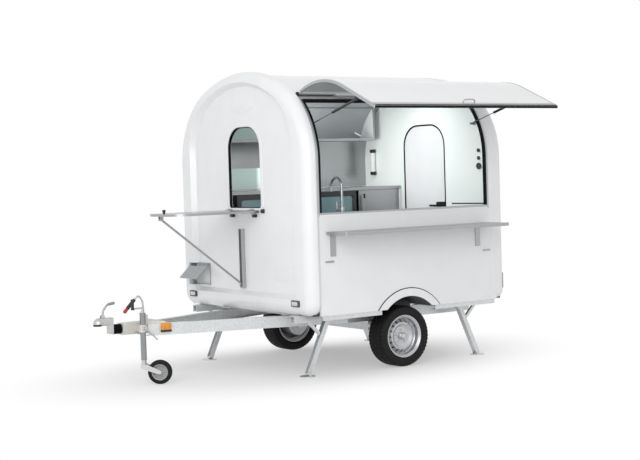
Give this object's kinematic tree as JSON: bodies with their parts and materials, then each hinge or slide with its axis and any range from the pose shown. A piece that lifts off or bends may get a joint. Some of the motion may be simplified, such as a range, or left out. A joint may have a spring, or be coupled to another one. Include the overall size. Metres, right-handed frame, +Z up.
{
  "type": "coffee trailer",
  "caption": "Single-axle coffee trailer with an arched body, lifting side hatch on gas struts, folding serving shelf, front shutter table, steadies, jockey wheel and overrun coupling.",
  "frame": {"origin": "middle of the bounding box, on the ground under the tyres and steady feet", "axes": "+X from the coupling towards the entrance door, +Y from the serving side to the closed side, +Z up"},
  "size_m": [3.633, 2.8018, 2.5778],
  "materials": {
    "white_shell": "glossy white moulded GRP",
    "wall_white": "glossy white sandwich panel",
    "floor_board": "coated plywood",
    "galvanised": "hot-dip galvanised",
    "stainless": "brushed stainless",
    "aluminium": "anodised",
    "silver_rim": "silver painted steel",
    "tyre_rubber": "black tyre",
    "rubber_black": "black rubber",
    "guard_grey": "dark grey plastic",
    "cast_grey": "zinc plated steel",
    "black_plastic": "black plastic",
    "red_plastic": "red plastic",
    "lamp_lens": "lamp lens",
    "strut_black": "black gas strut",
    "chrome_rod": "polished rod",
    "fridge_black": "black cabinet",
    "door_glass": "dark double glazing",
    "tap_chrome": "chrome"
  },
  "bodies": {
    "trailer": {"drawbar_arms": "galvanised", "chassis_frame": "galvanised", "floor_panel": "floor_board", "axle_beam": "galvanised", "mudguards": "guard_grey", "overrun_housing": "cast_grey", "jockey_clamp": "cast_grey", "marker_lamps": "lamp_lens", "steady_mounts": "galvanised", "front_cap": "white_shell", "rear_cap": "white_shell", "roof_shell": "wall_white", "side_wall": "wall_white", "hatch_frame": "aluminium", "shelf_brackets": "stainless", "wall_rail": "stainless", "inlet_box": "stainless", "near_counter": "stainless", "far_counter": "stainless", "fridge_cabinets": "fridge_black", "overhead_shelf": "stainless", "bellows": "rubber_black"},
    "arm_near": {"swing_arm_near": "galvanised"},
    "wheel_near": {"rim_near": "silver_rim", "tyre_near": "tyre_rubber"},
    "arm_far": {"swing_arm_far": "galvanised"},
    "wheel_far": {"rim_far": "silver_rim", "tyre_far": "tyre_rubber"},
    "hatch": {"hatch_panel": "wall_white"},
    "struts": {"strut_cylinders": "strut_black"},
    "strut_pistons": {"strut_rods": "chrome_rod"},
    "shelf": {"serving_shelf": "stainless"},
    "table": {"front_table": "stainless"},
    "prop": {"table_prop": "stainless"},
    "inlet_cover": {"inlet_flap": "stainless"},
    "door": {"entrance_door": "white_shell"},
    "door_lever": {"door_handle": "black_plastic"},
    "coupling": {"coupling_head": "cast_grey"},
    "coupling_lever": {"coupling_handle": "black_plastic"},
    "handbrake": {"handbrake_lever": "cast_grey", "handbrake_grip": "black_plastic"},
    "release": {"release_button": "red_plastic"},
    "jockey_column": {"jockey_tube": "galvanised"},
    "jockey_handle": {"jockey_crank": "cast_grey"},
    "jockey_castor": {"jockey_fork": "galvanised"},
    "jockey_roller": {"jockey_wheel": "silver_rim"},
    "clamp_lever": {"clamp_handle": "cast_grey"},
    "steady_front_near": {"steady_leg_front_near": "galvanised"},
    "brace_front_near": {"steady_brace_front_near": "galvanised"},
    "steady_front_far": {"steady_leg_front_far": "galvanised"},
    "brace_front_far": {"steady_brace_front_far": "galvanised"},
    "steady_rear_near": {"steady_leg_rear_near": "galvanised"},
    "brace_rear_near": {"steady_brace_rear_near": "galvanised"},
    "steady_rear_far": {"steady_leg_rear_far": "galvanised"},
    "brace_rear_far": {"steady_brace_rear_far": "galvanised"},
    "glass_front": {"glass_door_front": "door_glass"},
    "glass_rear": {"glass_door_rear": "door_glass"},
    "steel": {"steel_door": "stainless"},
    "spout": {"tap_spout": "tap_chrome"},
    "tap_control": {"tap_lever": "tap_chrome"}
  },
  "joints": [
    {"name": "suspension_near", "type": "hinge", "parent": "trailer", "child": "arm_near", "pos_m": [0.5135, -0.28315, 0.352], "axis": [0, 1, 0], "range_deg": [-14, 10], "stiffness_Nm_per_rad": 3500, "springref_deg": 6.3},
    {"name": "wheel_spin_near", "type": "hinge", "parent": "arm_near", "child": "wheel_near", "pos_m": [0.6635, -0.46065, 0.2625], "axis": [0, 1, 0], "continuous": true},
    {"name": "suspension_far", "type": "hinge", "parent": "trailer", "child": "arm_far", "pos_m": [0.5135, 1.03285, 0.352], "axis": [0, 1, 0], "range_deg": [-14, 10], "stiffness_Nm_per_rad": 3500, "springref_deg": 6.3},
    {"name": "wheel_spin_far", "type": "hinge", "parent": "arm_far", "child": "wheel_far", "pos_m": [0.6635, 1.21035, 0.2625], "axis": [0, 1, 0], "continuous": true},
    {"name": "hatch_hinge", "type": "hinge", "parent": "trailer", "child": "hatch", "pos_m": [0.6635, -0.37241, 2.34612], "axis": [1, 0, 0], "range_deg": [0, 66]},
    {"name": "strut_swing", "type": "hinge", "parent": "hatch", "child": "struts", "pos_m": [0.6635, -1.13071, 2.26217], "axis": [1, 0, 0], "range_deg": [0, 25.39]},
    {"name": "strut_stroke", "type": "slide", "parent": "struts", "child": "strut_pistons", "axis": [0, 0.9648, -0.263], "range_m": [-0.18978, 0]},
    {"name": "shelf_fold", "type": "hinge", "parent": "trailer", "child": "shelf", "pos_m": [0.6635, -0.63915, 1.171], "axis": [1, 0, 0], "range_deg": [0, 90]},
    {"name": "table_fold", "type": "hinge", "parent": "trailer", "child": "table", "pos_m": [-0.3535, 0.37485, 1.389], "axis": [0, 1, 0], "range_deg": [0, 88]},
    {"name": "prop_swing", "type": "hinge", "parent": "table", "child": "prop", "pos_m": [-1.1535, 0.39485, 1.337], "axis": [0, 1, 0], "range_deg": [-37.91, 0]},
    {"name": "inlet_flap_hinge", "type": "hinge", "parent": "trailer", "child": "inlet_cover", "pos_m": [-0.3565, 1.12435, 0.895], "axis": [0, 1, 0], "range_deg": [-46, 40]},
    {"name": "door_hinge", "type": "hinge", "parent": "trailer", "child": "door", "pos_m": [1.7755, 0.70485, 1.32], "axis": [0, 0, 1], "range_deg": [0, 95]},
    {"name": "door_lever", "type": "hinge", "parent": "door", "child": "door_lever", "pos_m": [1.7655, 0.18685, 1.345], "axis": [1, 0, 0], "range_deg": [-40, 0], "stiffness_Nm_per_rad": 1.5, "springref_deg": 22.92},
    {"name": "overrun_slide", "type": "slide", "parent": "trailer", "child": "coupling", "axis": [1, 0, 0], "range_m": [0, 0.05], "stiffness_N_per_m": 3000, "springref_m": -0.02, "deforming": ["bellows"]},
    {"name": "coupling_lift", "type": "hinge", "parent": "coupling", "child": "coupling_lever", "pos_m": [-1.7365, 0.37485, 0.574], "axis": [0, 1, 0], "range_deg": [-35, 0], "stiffness_Nm_per_rad": 4, "springref_deg": 17.19},
    {"name": "handbrake", "type": "hinge", "parent": "trailer", "child": "handbrake", "pos_m": [-1.3365, 0.41485, 0.54], "axis": [0, 1, 0], "range_deg": [0, 60]},
    {"name": "release_press", "type": "slide", "parent": "handbrake", "child": "release", "axis": [0.6971, 0, 0.717], "range_m": [0, 0.008], "stiffness_N_per_m": 600, "springref_m": -0.004},
    {"name": "jockey_height", "type": "slide", "parent": "trailer", "child": "jockey_column", "axis": [0, 0, 1], "range_m": [0, 0.15]},
    {"name": "jockey_wind", "type": "hinge", "parent": "jockey_column", "child": "jockey_handle", "pos_m": [-1.4415, 0.24085, 0.6], "axis": [0, 0, 1], "continuous": true},
    {"name": "jockey_swivel", "type": "hinge", "parent": "jockey_column", "child": "jockey_castor", "pos_m": [-1.4415, 0.24085, 0.3], "axis": [0, 0, 1], "continuous": true},
    {"name": "jockey_roll", "type": "hinge", "parent": "jockey_castor", "child": "jockey_roller", "pos_m": [-1.33648, 0.16594, 0.1], "axis": [0.5807, 0.8141, 0], "continuous": true},
    {"name": "clamp_turn", "type": "hinge", "parent": "trailer", "child": "clamp_lever", "pos_m": [-1.4415, 0.18885, 0.462], "axis": [0, 1, 0], "range_deg": [0, 180]},
    {"name": "steady_fold_front_near", "type": "hinge", "parent": "trailer", "child": "steady_front_near", "pos_m": [-0.0645, -0.41515, 0.462], "axis": [0, 1, 0], "range_deg": [0, 50]},
    {"name": "brace_swing_front_near", "type": "hinge", "parent": "steady_front_near", "child": "brace_front_near", "pos_m": [-0.12483, -0.41515, 0.33015], "axis": [0, 1, 0], "range_deg": [-82.48, 0]},
    {"name": "steady_fold_front_far", "type": "hinge", "parent": "trailer", "child": "steady_front_far", "pos_m": [-0.0645, 1.16485, 0.462], "axis": [0, 1, 0], "range_deg": [0, 50]},
    {"name": "brace_swing_front_far", "type": "hinge", "parent": "steady_front_far", "child": "brace_front_far", "pos_m": [-0.12483, 1.16485, 0.33015], "axis": [0, 1, 0], "range_deg": [-82.48, 0]},
    {"name": "steady_fold_rear_near", "type": "hinge", "parent": "trailer", "child": "steady_rear_near", "pos_m": [1.3915, -0.41515, 0.462], "axis": [0, 1, 0], "range_deg": [-50, 0]},
    {"name": "brace_swing_rear_near", "type": "hinge", "parent": "steady_rear_near", "child": "brace_rear_near", "pos_m": [1.45183, -0.41515, 0.33015], "axis": [0, 1, 0], "range_deg": [0, 82.48]},
    {"name": "steady_fold_rear_far", "type": "hinge", "parent": "trailer", "child": "steady_rear_far", "pos_m": [1.3915, 1.16485, 0.462], "axis": [0, 1, 0], "range_deg": [-50, 0]},
    {"name": "brace_swing_rear_far", "type": "hinge", "parent": "steady_rear_far", "child": "brace_rear_far", "pos_m": [1.45183, 1.16485, 0.33015], "axis": [0, 1, 0], "range_deg": [0, 82.48]},
    {"name": "glass_door_front_hinge", "type": "hinge", "parent": "trailer", "child": "glass_front", "pos_m": [-0.1445, 0.78685, 1], "axis": [0, 0, 1], "range_deg": [-95, 0]},
    {"name": "glass_door_rear_hinge", "type": "hinge", "parent": "trailer", "child": "glass_rear", "pos_m": [1.1695, 0.78685, 1], "axis": [0, 0, 1], "range_deg": [0, 95]},
    {"name": "steel_door_hinge", "type": "hinge", "parent": "trailer", "child": "steel", "pos_m": [1.7095, 0.78685, 1], "axis": [0, 0, 1], "range_deg": [0, 75]},
    {"name": "tap_swivel", "type": "hinge", "parent": "trailer", "child": "spout", "pos_m": [0.0635, -0.51015, 1.4], "axis": [0, 0, 1], "range_deg": [-80, 80]},
    {"name": "tap_turn", "type": "hinge", "parent": "trailer", "child": "tap_control", "pos_m": [0.0335, -0.51015, 1.376], "axis": [1, 0, 0], "range_deg": [-30, 60]}
  ],
  "couplings": [
    {"joint": "strut_swing", "follows": "hatch_hinge", "ratio": 0.37714},
    {"joint": "strut_stroke", "follows": "hatch_hinge", "m_per_rad": -0.16302},
    {"joint": "prop_swing", "follows": "table_fold", "ratio": -0.4157},
    {"joint": "brace_swing_front_near", "follows": "steady_fold_front_near", "ratio": -1.6397},
    {"joint": "brace_swing_front_far", "follows": "steady_fold_front_far", "ratio": -1.6397},
    {"joint": "brace_swing_rear_near", "follows": "steady_fold_rear_near", "ratio": -1.6397},
    {"joint": "brace_swing_rear_far", "follows": "steady_fold_rear_far", "ratio": -1.6397}
  ]
}
